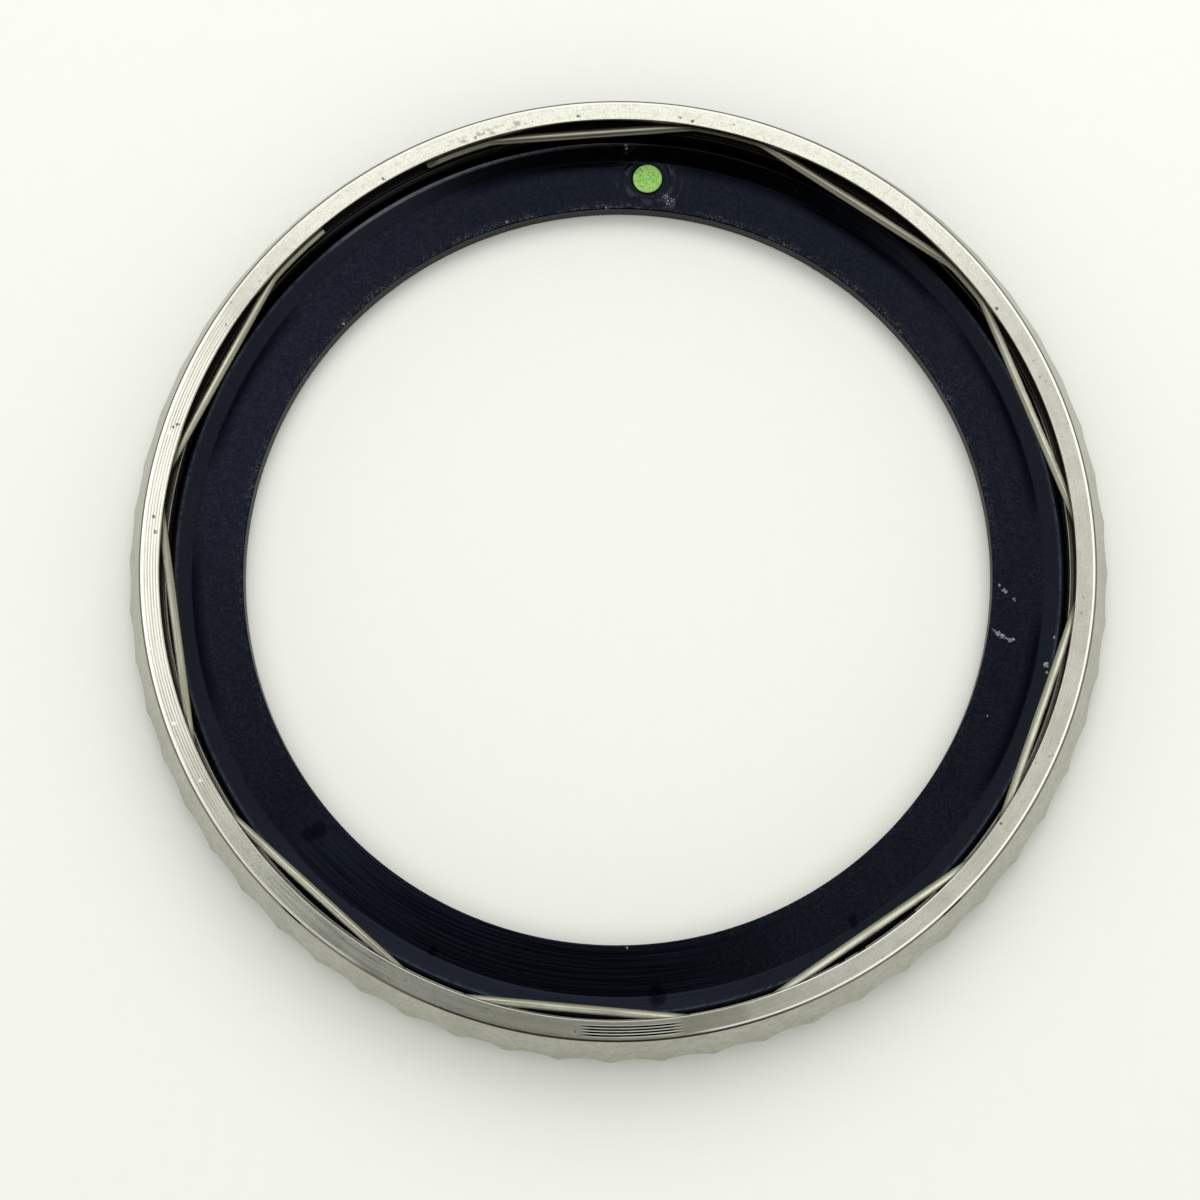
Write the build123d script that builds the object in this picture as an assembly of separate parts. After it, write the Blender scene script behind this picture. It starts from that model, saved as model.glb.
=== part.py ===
from build123d import *
import os
from math import atan2, cos, degrees, hypot, pi, radians, sin, sqrt, tan

# A rotating dive-watch bezel, lying on its front with the side that faces the case up.
# Millimetres. The origin is the centre of the plane that the bezel rests on, +Z runs along the
# axis towards the watch case, and +Y points to the zero mark. Heights are along +Z.

# Steel ring, outside
CREST_RADIUS = 20.0
TOTAL_HEIGHT = 3.35
FRONT_LIP_RADIUS = 19.30  # outer edge of the flat lip on the front
FRONT_BEVEL_TOP = 0.40  # height where the front bevel meets the grip
CONE_BASE = 1.13  # height where the grip ends and the tapered wall begins
RIM_OUTER_RADIUS = 19.24
RIM_CHAMFER = 0.08  # polished edge round the rim's outside
RIM_INNER_BREAK = 0.03

# Grip: shallow scoops with a narrow land left at each crest
SCOOPS = 60
SCOOP_DEPTH = 0.14
CREST_LAND_DEGREES = 0.4
GRIP_TURN = 0.46  # degrees from the zero mark to the middle of the nearest scoop

# Steel ring, inside
RIM_BORE_RADIUS = 18.41
GROOVE_RADIUS = 18.88
GROOVE_BOTTOM = 2.10
GROOVE_TOP = 3.11
LIP_BORE_RADIUS = 18.33
SEAT_HEIGHT = 0.90
RECESS_RADIUS = 18.97
EDGE_BREAK = 0.03

# Retaining spring: straight runs between short bends that follow the groove
WIRE_DIAMETER = 0.35
WIRE_HEIGHT = 2.77
BEND_RADIUS = 2.0
# each run: the direction it faces in degrees, and from the axis to the middle of the run
RUNS = (
    (157.1, 17.98),
    (193.2, 17.95),
    (232.6, 17.92),
    (269.2, 17.99),
    (308.4, 17.92),
    (344.0, 17.98),
    (385.6, 17.87),
    (420.2, 17.90),
    (458.3, 18.02),
)
# largest radius of the wire's centreline before the first run, between the runs and after the last
REACHES = (18.44, 18.68, 18.68, 18.68, 18.68, 18.68, 18.68, 18.45, 18.56, 18.44)
WIRE_START = 135.4
WIRE_END = 479.6

# Insert
HOLE_RADIUS = 15.35
FRONT_FACE = 0.10
BACK_FACE = 0.93
FLANGE_RADIUS = 18.92
FLANGE_BACK = 0.82
BOSS_RADIUS = 18.29
BAND_RADIUS = 17.45  # where the outer band of the back begins to rise
BAND_SLOPE = 28.0
SHOULDER_ROUND = 0.16
HOLE_BREAK = 0.05

# Adhesive film on the seat
FILM_INNER_RADIUS = 18.46
FILM_OUTER_RADIUS = 18.88

# Luminous mark
MARK_RADIUS = 16.71  # distance of the mark from the axis
MARK_REAR_RADIUS = 0.665
STEM_RADIUS = 0.61
STEM_SHIFT = (0.02, 0.03)  # the stem sits a little off the middle of its hole
MARK_REAR_RECESS = 0.03
MARK_POCKET_RADIUS = 0.97
MARK_POCKET_FLOOR = 0.70
MARK_CLEARANCE = 0.01
WITNESS_RING_RADIUS = 1.10  # faint ring round the mark, on the flat of the back
WITNESS_RING_WIDTH = 0.16
WITNESS_RING_DEPTH = 0.01
COLLAR_BORE_RADIUS = 0.76
COLLAR_FRONT = 0.05
LENS_BACK = 0.42
LENS_EDGE = 0.14
LENS_TOP = 0.02

# Scale printed on the front
MINUTES = 60
PAINT_THICKNESS = 0.03
TICK_OUTER = 18.62
TICK_LENGTH = 0.52
TICK_WIDTH = 0.13
WIDE_TICK_WIDTH = 0.26
BAR_MINUTES = (5, 15, 25, 35, 45, 55)
BAR_INNER = 16.05
BAR_LENGTH = 1.65
BAR_WIDTH = 0.42
DIGIT_HEIGHT = 1.65
DIGIT_WIDTH = 0.92
DIGIT_STROKE = 0.24
DIGIT_GAP = 0.30
DIGIT_CENTRE_RADIUS = 16.88
ARROW_BASE = 18.62
ARROW_TIP = 17.80
ARROW_HALF_WIDTH = 0.75


def round_point(radius, angle, height=0.0):
    """The point at a radius and an angle in degrees about the axis."""
    return Vector(radius * cos(radians(angle)), radius * sin(radians(angle)), height)


def turned(corners):
    """A solid of revolution about the axis, from its section's corners as (radius, height)."""
    section = make_face(Polyline(*[(radius, 0, height) for radius, height in corners], close=True))
    return revolve(section, Axis.Z)


def disc(radius, low, high):
    """An upright cylinder at the luminous mark, between two heights."""
    return Pos(0, MARK_RADIUS, low) * Cylinder(
        radius, high - low, align=(Align.CENTER, Align.CENTER, Align.MIN)
    )


def grip_outline():
    """The plan of the grip: a concave arc for each scoop and a short land on each crest."""
    pitch = 360 / SCOOPS
    land = CREST_LAND_DEGREES / 2
    edges = []
    for number in range(SCOOPS):
        middle = number * pitch + GRIP_TURN
        left = middle - pitch / 2 + land
        right = middle + pitch / 2 - land
        edges.append(
            ThreePointArc(
                round_point(CREST_RADIUS, left),
                round_point(CREST_RADIUS - SCOOP_DEPTH, middle),
                round_point(CREST_RADIUS, right),
            )
        )
        edges.append(
            ThreePointArc(
                round_point(CREST_RADIUS, right),
                round_point(CREST_RADIUS, right + land),
                round_point(CREST_RADIUS, right + 2 * land),
            )
        )
    return make_face(edges)


def bezel_ring():
    """The steel ring: a turned section, with the scoops cut through its grip."""
    section = turned(
        [
            (RECESS_RADIUS, EDGE_BREAK),
            (RECESS_RADIUS + EDGE_BREAK, 0),
            (FRONT_LIP_RADIUS, 0),
            (CREST_RADIUS + EDGE_BREAK, FRONT_BEVEL_TOP),
            (CREST_RADIUS + EDGE_BREAK, CONE_BASE - EDGE_BREAK),
            (RIM_OUTER_RADIUS, TOTAL_HEIGHT - RIM_CHAMFER),
            (RIM_OUTER_RADIUS - RIM_CHAMFER, TOTAL_HEIGHT),
            (RIM_BORE_RADIUS + RIM_INNER_BREAK, TOTAL_HEIGHT),
            (RIM_BORE_RADIUS, TOTAL_HEIGHT - RIM_INNER_BREAK),
            (RIM_BORE_RADIUS, GROOVE_TOP),
            (GROOVE_RADIUS, GROOVE_TOP),
            (GROOVE_RADIUS, GROOVE_BOTTOM),
            (LIP_BORE_RADIUS + EDGE_BREAK, GROOVE_BOTTOM),
            (LIP_BORE_RADIUS, GROOVE_BOTTOM - EDGE_BREAK),
            (LIP_BORE_RADIUS, SEAT_HEIGHT),
            (RECESS_RADIUS, SEAT_HEIGHT),
        ]
    )
    return section & extrude(grip_outline(), TOTAL_HEIGHT)


def bend_place(apothem, reach):
    """Where a bend starts on a straight run and ends on its reach circle.

    The bend's centre is a bend radius inside both the run and the circle. The result is its
    distance along the run from the run's middle, and the angle of its end about the axis.
    """
    across = apothem - BEND_RADIUS
    along = sqrt((reach - BEND_RADIUS) ** 2 - across**2)
    return along, degrees(atan2(along, across))


def run_point(direction, apothem, along):
    """A point of a straight run, given by the run and the distance from its middle."""
    angle = degrees(atan2(along, apothem))
    return round_point(hypot(along, apothem), direction + angle, WIRE_HEIGHT)


def bend(direction, apothem, reach, side):
    """The bend at one end of a run: run point, middle point, outer point and the outer's angle."""
    along, sweep_angle = bend_place(apothem, reach)
    corner = run_point(direction, apothem, side * along)
    centre = corner - round_point(BEND_RADIUS, direction)
    halfway = centre + round_point(BEND_RADIUS, direction + side * sweep_angle / 2)
    outer_angle = direction + side * sweep_angle
    return corner, halfway, round_point(reach, outer_angle, WIRE_HEIGHT), outer_angle


def reach_arc(radius, start, end):
    """The stretch of wire that follows the groove between two angles."""
    return ThreePointArc(
        round_point(radius, start, WIRE_HEIGHT),
        round_point(radius, (start + end) / 2, WIRE_HEIGHT),
        round_point(radius, end, WIRE_HEIGHT),
    )


def spring_path():
    """The wire's centreline, from one open end to the other, all of its pieces tangent."""
    edges = []
    angle = WIRE_START
    for (direction, apothem), reach, next_reach in zip(RUNS, REACHES, REACHES[1:]):
        run_start, start_middle, start_outer, start_angle = bend(direction, apothem, reach, -1)
        run_end, end_middle, end_outer, end_angle = bend(direction, apothem, next_reach, 1)
        edges += [
            reach_arc(reach, angle, start_angle),
            ThreePointArc(start_outer, start_middle, run_start),
            Line(run_start, run_end),
            ThreePointArc(run_end, end_middle, end_outer),
        ]
        angle = end_angle
    edges.append(reach_arc(REACHES[-1], angle, WIRE_END))
    return Wire([edge for piece in edges for edge in piece.edges()])


def retaining_spring():
    """Round wire along the spring's path, with its volume and its least gap to itself printed."""
    path = spring_path()
    section = Plane(origin=path @ 0, z_dir=path % 0) * Circle(WIRE_DIAMETER / 2)
    spring = sweep(section, path=path)
    expected = pi * WIRE_DIAMETER**2 / 4 * path.length
    steps = 400
    points = [path @ (step / steps) for step in range(steps + 1)]
    apart = steps // 3
    least = min(
        (points[first] - points[second]).length
        for first in range(steps + 1)
        for second in range(first + apart, steps + 1)
    )
    print("spring length", round(path.length, 2), "volume", round(spring.volume, 4),
          "expected", round(expected, 4), "gap between ends", round(least - WIRE_DIAMETER, 2))
    return spring


def insert_blank():
    """The insert before its pockets are cut: a turned section with a flat back and a raised edge.

    The back is flat out to BAND_RADIUS. From there it slopes up until it is tangent to the
    shoulder's round, whose centre is SHOULDER_ROUND inside the boss.
    """
    slope = radians(BAND_SLOPE)
    centre_radius = BOSS_RADIUS - SHOULDER_ROUND
    centre_height = (
        BACK_FACE + tan(slope) * (centre_radius - BAND_RADIUS) - SHOULDER_ROUND / cos(slope)
    )

    def on_round(angle):
        """The point of the shoulder's round at an angle from straight outwards."""
        return (
            centre_radius + SHOULDER_ROUND * cos(angle),
            0,
            centre_height + SHOULDER_ROUND * sin(angle),
        )

    crest = pi / 2 + slope
    lower = Polyline(
        on_round(0),
        (BOSS_RADIUS, 0, FLANGE_BACK),
        (FLANGE_RADIUS, 0, FLANGE_BACK),
        (FLANGE_RADIUS, 0, FRONT_FACE + EDGE_BREAK),
        (FLANGE_RADIUS - EDGE_BREAK, 0, FRONT_FACE),
        (HOLE_RADIUS + HOLE_BREAK, 0, FRONT_FACE),
        (HOLE_RADIUS, 0, FRONT_FACE + HOLE_BREAK),
        (HOLE_RADIUS, 0, BACK_FACE - HOLE_BREAK),
        (HOLE_RADIUS + HOLE_BREAK, 0, BACK_FACE),
        (BAND_RADIUS, 0, BACK_FACE),
        on_round(crest),
    )
    shoulder = ThreePointArc(on_round(crest), on_round(crest / 2), on_round(0))
    return revolve(make_face(lower.edges() + shoulder.edges()), Axis.Z)


def mark_pocket():
    """What is cut away for the luminous mark: the front pocket, the rear hole and the faint ring."""
    pocket = disc(MARK_POCKET_RADIUS, 0, MARK_POCKET_FLOOR)
    hole = disc(MARK_REAR_RADIUS, 0, TOTAL_HEIGHT)
    ring_floor = BACK_FACE - WITNESS_RING_DEPTH
    ring = disc(WITNESS_RING_RADIUS, ring_floor, BACK_FACE) - disc(
        WITNESS_RING_RADIUS - WITNESS_RING_WIDTH, ring_floor, BACK_FACE
    )
    flat = Cylinder(BAND_RADIUS - WITNESS_RING_DEPTH, TOTAL_HEIGHT)
    return pocket + hole + (ring & flat)


def on_front(minute, radius):
    """A plane on the front, at a minute of the scale: x clockwise, y outwards, z to the viewer."""
    angle = 90 + minute * 360 / MINUTES
    return Plane(
        origin=round_point(radius, angle, FRONT_FACE),
        x_dir=round_point(1, angle + 90),
        z_dir=(0, 0, -1),
    )


def zero():
    """The digit 0: a tall ring."""
    outer = RectangleRounded(DIGIT_WIDTH, DIGIT_HEIGHT, DIGIT_WIDTH * 0.49)
    inner_width = DIGIT_WIDTH - 2 * DIGIT_STROKE
    return outer - RectangleRounded(
        inner_width, DIGIT_HEIGHT - 2 * DIGIT_STROKE, inner_width * 0.49
    )


def stroke(*pieces):
    """A digit drawn with a pen of the stroke's width along joined lines and arcs."""
    return trace(pieces, DIGIT_STROKE)


def digit(character):
    """The outline of one digit, centred, from its pen path inside the digit's height and width."""
    side = (DIGIT_WIDTH - DIGIT_STROKE) / 2
    top = (DIGIT_HEIGHT - DIGIT_STROKE) / 2
    if character == "0":
        return zero()
    if character == "1":
        return stroke(Polyline((-0.6 * side, 0.62 * top), (0.25 * side, top), (0.25 * side, -top)))
    if character == "2":
        bowl = ThreePointArc((-side, top - side), (0, top), (side, top - side))
        tail = Polyline((side, top - side), (-side, -top), (side, -top))
        return stroke(bowl, tail)
    if character == "3":
        waist = 0.06 * top
        upper = ThreePointArc((-side, top - 0.55 * side), (0.9 * side, top - side), (-0.3 * side, waist))
        lower = ThreePointArc((-0.3 * side, waist), (side, -top + side), (-side, -top + 0.5 * side))
        return stroke(upper) + stroke(lower)
    if character == "4":
        slope = Polyline((0.45 * side, top), (-side, -0.4 * top), (1.25 * side, -0.4 * top))
        post = Line((0.45 * side, top + DIGIT_STROKE / 2), (0.45 * side, -top - DIGIT_STROKE / 2))
        return stroke(slope) + stroke(post)
    head = Polyline((0.9 * side, top), (-0.8 * side, top), (-0.9 * side, 0.12 * top))
    bowl = ThreePointArc(
        (-0.9 * side, 0.12 * top), (side, -top + 1.15 * side), (-side, -top + 0.45 * side)
    )
    return stroke(head) + stroke(bowl)


def number_sketch(minute):
    """A two-digit number of the scale, reading from the front with its top outwards."""
    step = (DIGIT_WIDTH + DIGIT_GAP) / 2
    tens, units = str(minute)
    return [Pos(-step, 0) * digit(tens), Pos(step, 0) * digit(units)]


def scale_sketches():
    """The paint of the scale: for each node, its flat shapes with the minute and radius of each."""
    bar_centre = BAR_INNER + BAR_LENGTH / 2
    tick_centre = TICK_OUTER - TICK_LENGTH / 2
    sketches = {
        "minute_ticks": [
            (Rectangle(TICK_WIDTH if minute % 5 else WIDE_TICK_WIDTH, TICK_LENGTH), minute, tick_centre)
            for minute in range(1, MINUTES)
        ],
        "five_minute_bars": [
            (Rectangle(BAR_WIDTH, BAR_LENGTH), minute, bar_centre) for minute in BAR_MINUTES
        ],
        "zero_arrow": [
            (
                make_face(
                    Polyline(
                        (-ARROW_HALF_WIDTH, ARROW_BASE - ARROW_TIP),
                        (0, 0),
                        (ARROW_HALF_WIDTH, ARROW_BASE - ARROW_TIP),
                        close=True,
                    )
                ),
                0,
                ARROW_TIP,
            )
        ],
    }
    for minute in range(10, MINUTES, 10):
        sketches[f"number_{minute}"] = [
            (sketch, minute, DIGIT_CENTRE_RADIUS) for sketch in number_sketch(minute)
        ]
    return sketches


def printed(shapes):
    """Paint on the insert's front, one solid for each flat shape of the scale."""
    return [
        extrude(on_front(minute, radius) * sketch, PAINT_THICKNESS)
        for sketch, minute, radius in shapes
    ]


def luminous_fill():
    """The green plug: a wide front end inside the collar and a stem that shows at the back."""
    stem = disc(STEM_RADIUS, MARK_POCKET_FLOOR, BACK_FACE - MARK_REAR_RECESS)
    return Pos(*STEM_SHIFT) * stem + disc(COLLAR_BORE_RADIUS - MARK_CLEARANCE, LENS_BACK, MARK_POCKET_FLOOR)


def pip_collar():
    """The metal ring round the mark, pressed into the front pocket."""
    outer = disc(MARK_POCKET_RADIUS - MARK_CLEARANCE, COLLAR_FRONT, MARK_POCKET_FLOOR)
    return outer - disc(COLLAR_BORE_RADIUS, 0, TOTAL_HEIGHT)


def pip_lens():
    """The clear cover: a short cylinder with a shallow dome on its front."""
    radius = COLLAR_BORE_RADIUS - MARK_CLEARANCE
    rise = LENS_EDGE - LENS_TOP
    ball_radius = (radius**2 + rise**2) / (2 * rise)
    dome = Pos(0, MARK_RADIUS, LENS_TOP + ball_radius) * Sphere(ball_radius)
    return disc(radius, LENS_TOP - rise, LENS_BACK) & dome


def insert_adhesive():
    """The film of adhesive between the insert's flange and the seat in the steel ring."""
    return turned(
        [
            (FILM_INNER_RADIUS, FLANGE_BACK),
            (FILM_OUTER_RADIUS, FLANGE_BACK),
            (FILM_OUTER_RADIUS, SEAT_HEIGHT),
            (FILM_INNER_RADIUS, SEAT_HEIGHT),
        ]
    )


nodes = {
    "bezel_ring": bezel_ring(),
    "retaining_spring": retaining_spring(),
    "insert": insert_blank() - mark_pocket(),
    "insert_adhesive": insert_adhesive(),
    "luminous_fill": luminous_fill(),
    "pip_collar": pip_collar(),
    "pip_lens": pip_lens(),
}
for name, shapes in scale_sketches().items():
    nodes[name] = Compound(children=printed(shapes))

os.makedirs("parts", exist_ok=True)
for name, shape in nodes.items():
    export_step(shape, f"parts/{name}.step")
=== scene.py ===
from functools import reduce
import math

import bpy
import numpy as np
from mathutils import Matrix


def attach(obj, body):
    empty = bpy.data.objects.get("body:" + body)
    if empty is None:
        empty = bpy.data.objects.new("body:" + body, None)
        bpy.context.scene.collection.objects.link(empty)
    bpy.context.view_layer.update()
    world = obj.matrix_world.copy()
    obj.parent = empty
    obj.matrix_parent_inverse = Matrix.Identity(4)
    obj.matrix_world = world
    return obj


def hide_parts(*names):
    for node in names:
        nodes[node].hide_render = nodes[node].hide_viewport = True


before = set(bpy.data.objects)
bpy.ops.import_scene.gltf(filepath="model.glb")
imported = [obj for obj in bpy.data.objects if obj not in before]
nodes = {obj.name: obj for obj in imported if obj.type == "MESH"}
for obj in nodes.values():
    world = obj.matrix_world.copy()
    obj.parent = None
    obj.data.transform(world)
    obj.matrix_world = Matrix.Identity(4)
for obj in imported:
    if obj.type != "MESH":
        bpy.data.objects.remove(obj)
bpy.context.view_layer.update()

# A rotating dive-watch bezel that lies on its front: a steel ring with a scooped grip, a black
# insert, a nine-sided wire spring and a luminous mark. Shapes are worked out in millimetres.
# The origin is on the table at the axis, +Z runs towards the watch case and +Y to the zero mark.

MM = 0.001

# Steel ring
CREST_RADIUS = 20.0
TOTAL_HEIGHT = 3.35
FRONT_LIP_RADIUS = 19.3
FRONT_BEVEL_TOP = 0.4
CONE_BASE = 1.1
CONE_BASE_RADIUS = 20.03
RIM_OUTER_RADIUS = 19.24
RIM_CHAMFER = 0.08
SCOOPS = 60
SCOOP_DEPTH = 0.14
CREST_LAND_DEGREES = 0.4
GRIP_TURN = 0.46
CREST_BLEND = 0.004
SCOOP_STEPS = np.radians([0, 0.7, 1.35, 1.9, 2.35, 2.62, 2.78, 2.9])
RIM_BORE_RADIUS = 18.41
GROOVE_RADIUS = 18.88
GROOVE_BOTTOM = 2.1
GROOVE_TOP = 3.11
LIP_BORE_RADIUS = 18.33
SEAT_HEIGHT = 0.9
RECESS_RADIUS = 18.97

# Wire spring
WIRE_DIAMETER = 0.35
WIRE_HEIGHT = 2.77
BEND_RADIUS = 2.0
# Direction of each straight run, in degrees, and its distance from the axis
RUNS = (
    (157.1, 17.98), (193.2, 17.95), (232.6, 17.92), (269.2, 17.99), (308.4, 17.92),
    (344.0, 17.98), (385.6, 17.87), (420.2, 17.90), (458.3, 18.02),
)
# How far out the wire's middle reaches before, between and after them
REACHES = (18.44, 18.68, 18.68, 18.68, 18.68, 18.68, 18.68, 18.45, 18.56, 18.44)
WIRE_START = 135.4
WIRE_END = 479.6
WIRE_BREAK = 0.03
WIRE_COLUMNS = 20
REACH_STEPS = 6
BEND_STEPS = 8

# Insert
HOLE_RADIUS = 15.35
FRONT_FACE = 0.1
BACK_FACE = 0.93
FLANGE_RADIUS = 18.92
FLANGE_BACK = 0.82
BOSS_RADIUS = 18.29
BAND_RADIUS = 17.45
BAND_SLOPE = math.radians(28.0)
BAND_BLEND = 0.015
SHOULDER_ROUND = 0.16
HOLE_ROUND = 0.05
HOLE_SUPPORT = 0.005
FLAT_ROWS = np.linspace(15.41, 17.36, 20)
FOOT_ROWS = np.linspace(17.39, 17.51, 9)
BAND_ROWS = (17.6, 6)
SHOULDER_STEPS = 16
WINDOW_HALF = math.radians(4.5)
WINDOW_COLUMNS = 25
FAR_COLUMNS = 704
FAR_FROM_MARK = 9.0

# Luminous mark
MARK_RADIUS = 16.71
MARK_REAR_RADIUS = 0.665
STEM_RADIUS = 0.61
STEM_SHIFT = (0.02, 0.03, 0)
MARK_REAR_RECESS = 0.03
MARK_POCKET_RADIUS = 0.97
MARK_POCKET_FLOOR = 0.7
MARK_CLEARANCE = 0.01
WITNESS_RING_RADIUS = 1.1
WITNESS_RING_WIDTH = 0.16
WITNESS_RING_DEPTH = 0.01
INNER_CIRCLES = (0.88, 0.82, 0.77, 0.72)
FRONT_CIRCLE = 1.06
POLE_RADIUS = 0.01
PLUG_COLUMNS = 110
GRAIN_COUNT = 420
GRAIN_WIDTH = 0.035
GRAIN_HEIGHT = 0.022
GRAIN_SEED = 7
COLLAR_BORE_RADIUS = 0.76
COLLAR_FRONT = 0.05
LENS_BACK = 0.42
LENS_EDGE = 0.14
LENS_TOP = 0.02

# Camera, worked out from the ring's outline in the photograph: millimetres and degrees
CAMERA_PLACE = (2.492, -21.323, 113.289)
CAMERA_TILT = 10.158
CAMERA_LEAN = 0.812
CAMERA_TURN = 4.217
CAMERA_LENS = 83.717
SENSOR_WIDTH = 36.0
CAMERA_SEES = (0.005, 20.0)

# Left, right, low and high edges of the dark things held beside the camera, in its own plane
HELD_THINGS = {"phone": (-61.5, 9.5, -129, 18), "hand": (9.5, 34, -129, -24)}
PHOTOGRAPHER = ((-110, -260, -2), (150, -260, -2), (150, -260, 230), (-110, -260, 230))
TABLE = ((-2500, -2500, 0), (2500, -2500, 0), (2500, 2500, 0), (-2500, 2500, 0))
# Name, place and side in millimetres, power in watts, and whether it shows in reflections
LAMPS = (
    ("top_light", (20, 150, 170), 160, 0.15, False),
    ("over_light", (-6, 92, 200), 110, 0.026, True),
    ("left_light", (-75, 40, 200), 60, 0.007, True),
)
TENT_LEVEL = 0.765
TENT_COLOUR = (1.0, 1.0, 0.985)
PAPER_DARK, PAPER_LIGHT = (0.925, 0.935, 0.872), (0.945, 0.953, 0.89)
CLOTH_TONE = (0.02, 0.02, 0.02)


# -------- shapes


def unit(vectors):
    """Vectors divided by their lengths."""
    return vectors / np.linalg.norm(vectors, axis=-1, keepdims=True)


def rounded(corners, radii, steps=3, support=0.012):
    """The rows of a section whose corners are rounded off.

    A round's centre is on the corner's bisector, at radius / sin(half angle). The round runs
    between the points at radius / tan(half angle) from the corner, along the great arc between the
    two directions from its centre. One more point just outside each end keeps the flats flat.
    """
    rows = []
    for place, radius in enumerate(radii):
        corner = corners[place]
        if radius == 0:
            rows.append(corner)
            continue
        back = unit(corners[place - 1] - corner)
        ahead = unit(corners[(place + 1) % len(corners)] - corner)
        half = np.arccos(np.clip((back * ahead).sum(-1, keepdims=True), -1, 1)) / 2
        centre = corner + unit(back + ahead) * radius / np.sin(half)
        trim = radius / np.tan(half)
        first = corner + back * trim - centre
        last = corner + ahead * trim - centre
        sweep = np.pi - 2 * half
        rows.append(corner + back * (trim + support))
        for part in np.linspace(0, 1, steps + 1):
            blend = np.sin((1 - part) * sweep) * first + np.sin(part * sweep) * last
            rows.append(centre + blend / np.sin(sweep))
        rows.append(corner + ahead * (trim + support))
    return np.array(rows)


def numbered(points):
    """The numbers of a grid of points, row after row, in the grid's own shape."""
    return np.arange(points.shape[0] * points.shape[1]).reshape(points.shape[:2])


def quads(index, close_rows=False, close_columns=True):
    """Four-cornered faces between neighbours in a grid of point numbers.

    The faces point outwards where the columns run anticlockwise about the axis and the rows run
    anticlockwise round the section, out along the bottom and up along the outside.
    """
    if close_rows:
        index = np.vstack([index, index[:1]])
    if close_columns:
        index = np.hstack([index, index[:, :1]])
    corners = (index[:-1, :-1], index[:-1, 1:], index[1:, 1:], index[1:, :-1])
    return np.stack(corners, axis=-1)


def about_axis(section, angles):
    """Points at (radius cos a, radius sin a, height) for each row of a section and each angle a."""
    radius, height = np.broadcast_arrays(section[..., 0], section[..., 1])
    return np.stack(
        np.broadcast_arrays(radius * np.cos(angles), radius * np.sin(angles), height), axis=-1
    )


def about_mark(section, angles):
    """The same as about_axis, but round the mark's own axis."""
    return about_axis(section, angles) + (0, MARK_RADIUS, 0)


def in_scene(name, data):
    """A new object in the scene, from its mesh, camera or lamp."""
    made = bpy.data.objects.new(name, data)
    bpy.context.scene.collection.objects.link(made)
    return made


def piece(name, points, faces, body="bezel"):
    """A smooth-shaded mesh from points in millimetres, which rides on a body."""
    mesh = bpy.data.meshes.new(name)
    mesh.from_pydata((np.reshape(points, (-1, 3)) * MM).tolist(), [], faces)
    mesh.polygons.foreach_set("use_smooth", np.ones(len(mesh.polygons), bool))
    mesh.update()
    made = in_scene(name, mesh)
    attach(made, body)
    return made


def closed_ring(name, section, columns=96):
    """A closed section carried once round the mark's axis."""
    angles = np.linspace(0, 2 * np.pi, columns, endpoint=False)
    points = about_mark(section[:, None, :], angles)
    faces = quads(numbered(points), close_rows=True).reshape(-1, 4).tolist()
    return piece(name, points, faces)


def closed_lathe(name, section, place=about_mark, columns=96, lift=None):
    """A solid turned from an open section that starts and ends near its axis.

    The first and last rows are small circles, each closed by one many-cornered face. A lift is
    added to the heights as a function of the points.
    """
    angles = np.linspace(0, 2 * np.pi, columns, endpoint=False)
    points = place(section[:, None, :], angles)
    if lift is not None:
        points[..., 2] += lift(points)
    index = numbered(points)
    faces = quads(index).reshape(-1, 4).tolist()
    return piece(name, points, [*faces, index[0][::-1].tolist(), index[-1].tolist()])


def grip_radius(local):
    """The grip's radius at an angle from the middle of a scoop.

    It is the smaller of the crest's radius and of a hollow arc through the land's edges and the
    scoop's floor. The two blend as -k log(exp(-a / k) + exp(-b / k)), with k a few microns.
    """
    land = math.pi / SCOOPS - math.radians(CREST_LAND_DEGREES / 2)
    half_chord = CREST_RADIUS * math.sin(land)
    rise = CREST_RADIUS * math.cos(land) - CREST_RADIUS + SCOOP_DEPTH
    arc = (half_chord**2 + rise**2) / (2 * rise)
    centre = CREST_RADIUS - SCOOP_DEPTH + arc
    hollow = centre * np.cos(local) - np.sqrt(arc**2 - (centre * np.sin(local)) ** 2)
    return -CREST_BLEND * np.logaddexp(-hollow / CREST_BLEND, -CREST_RADIUS / CREST_BLEND)


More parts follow.
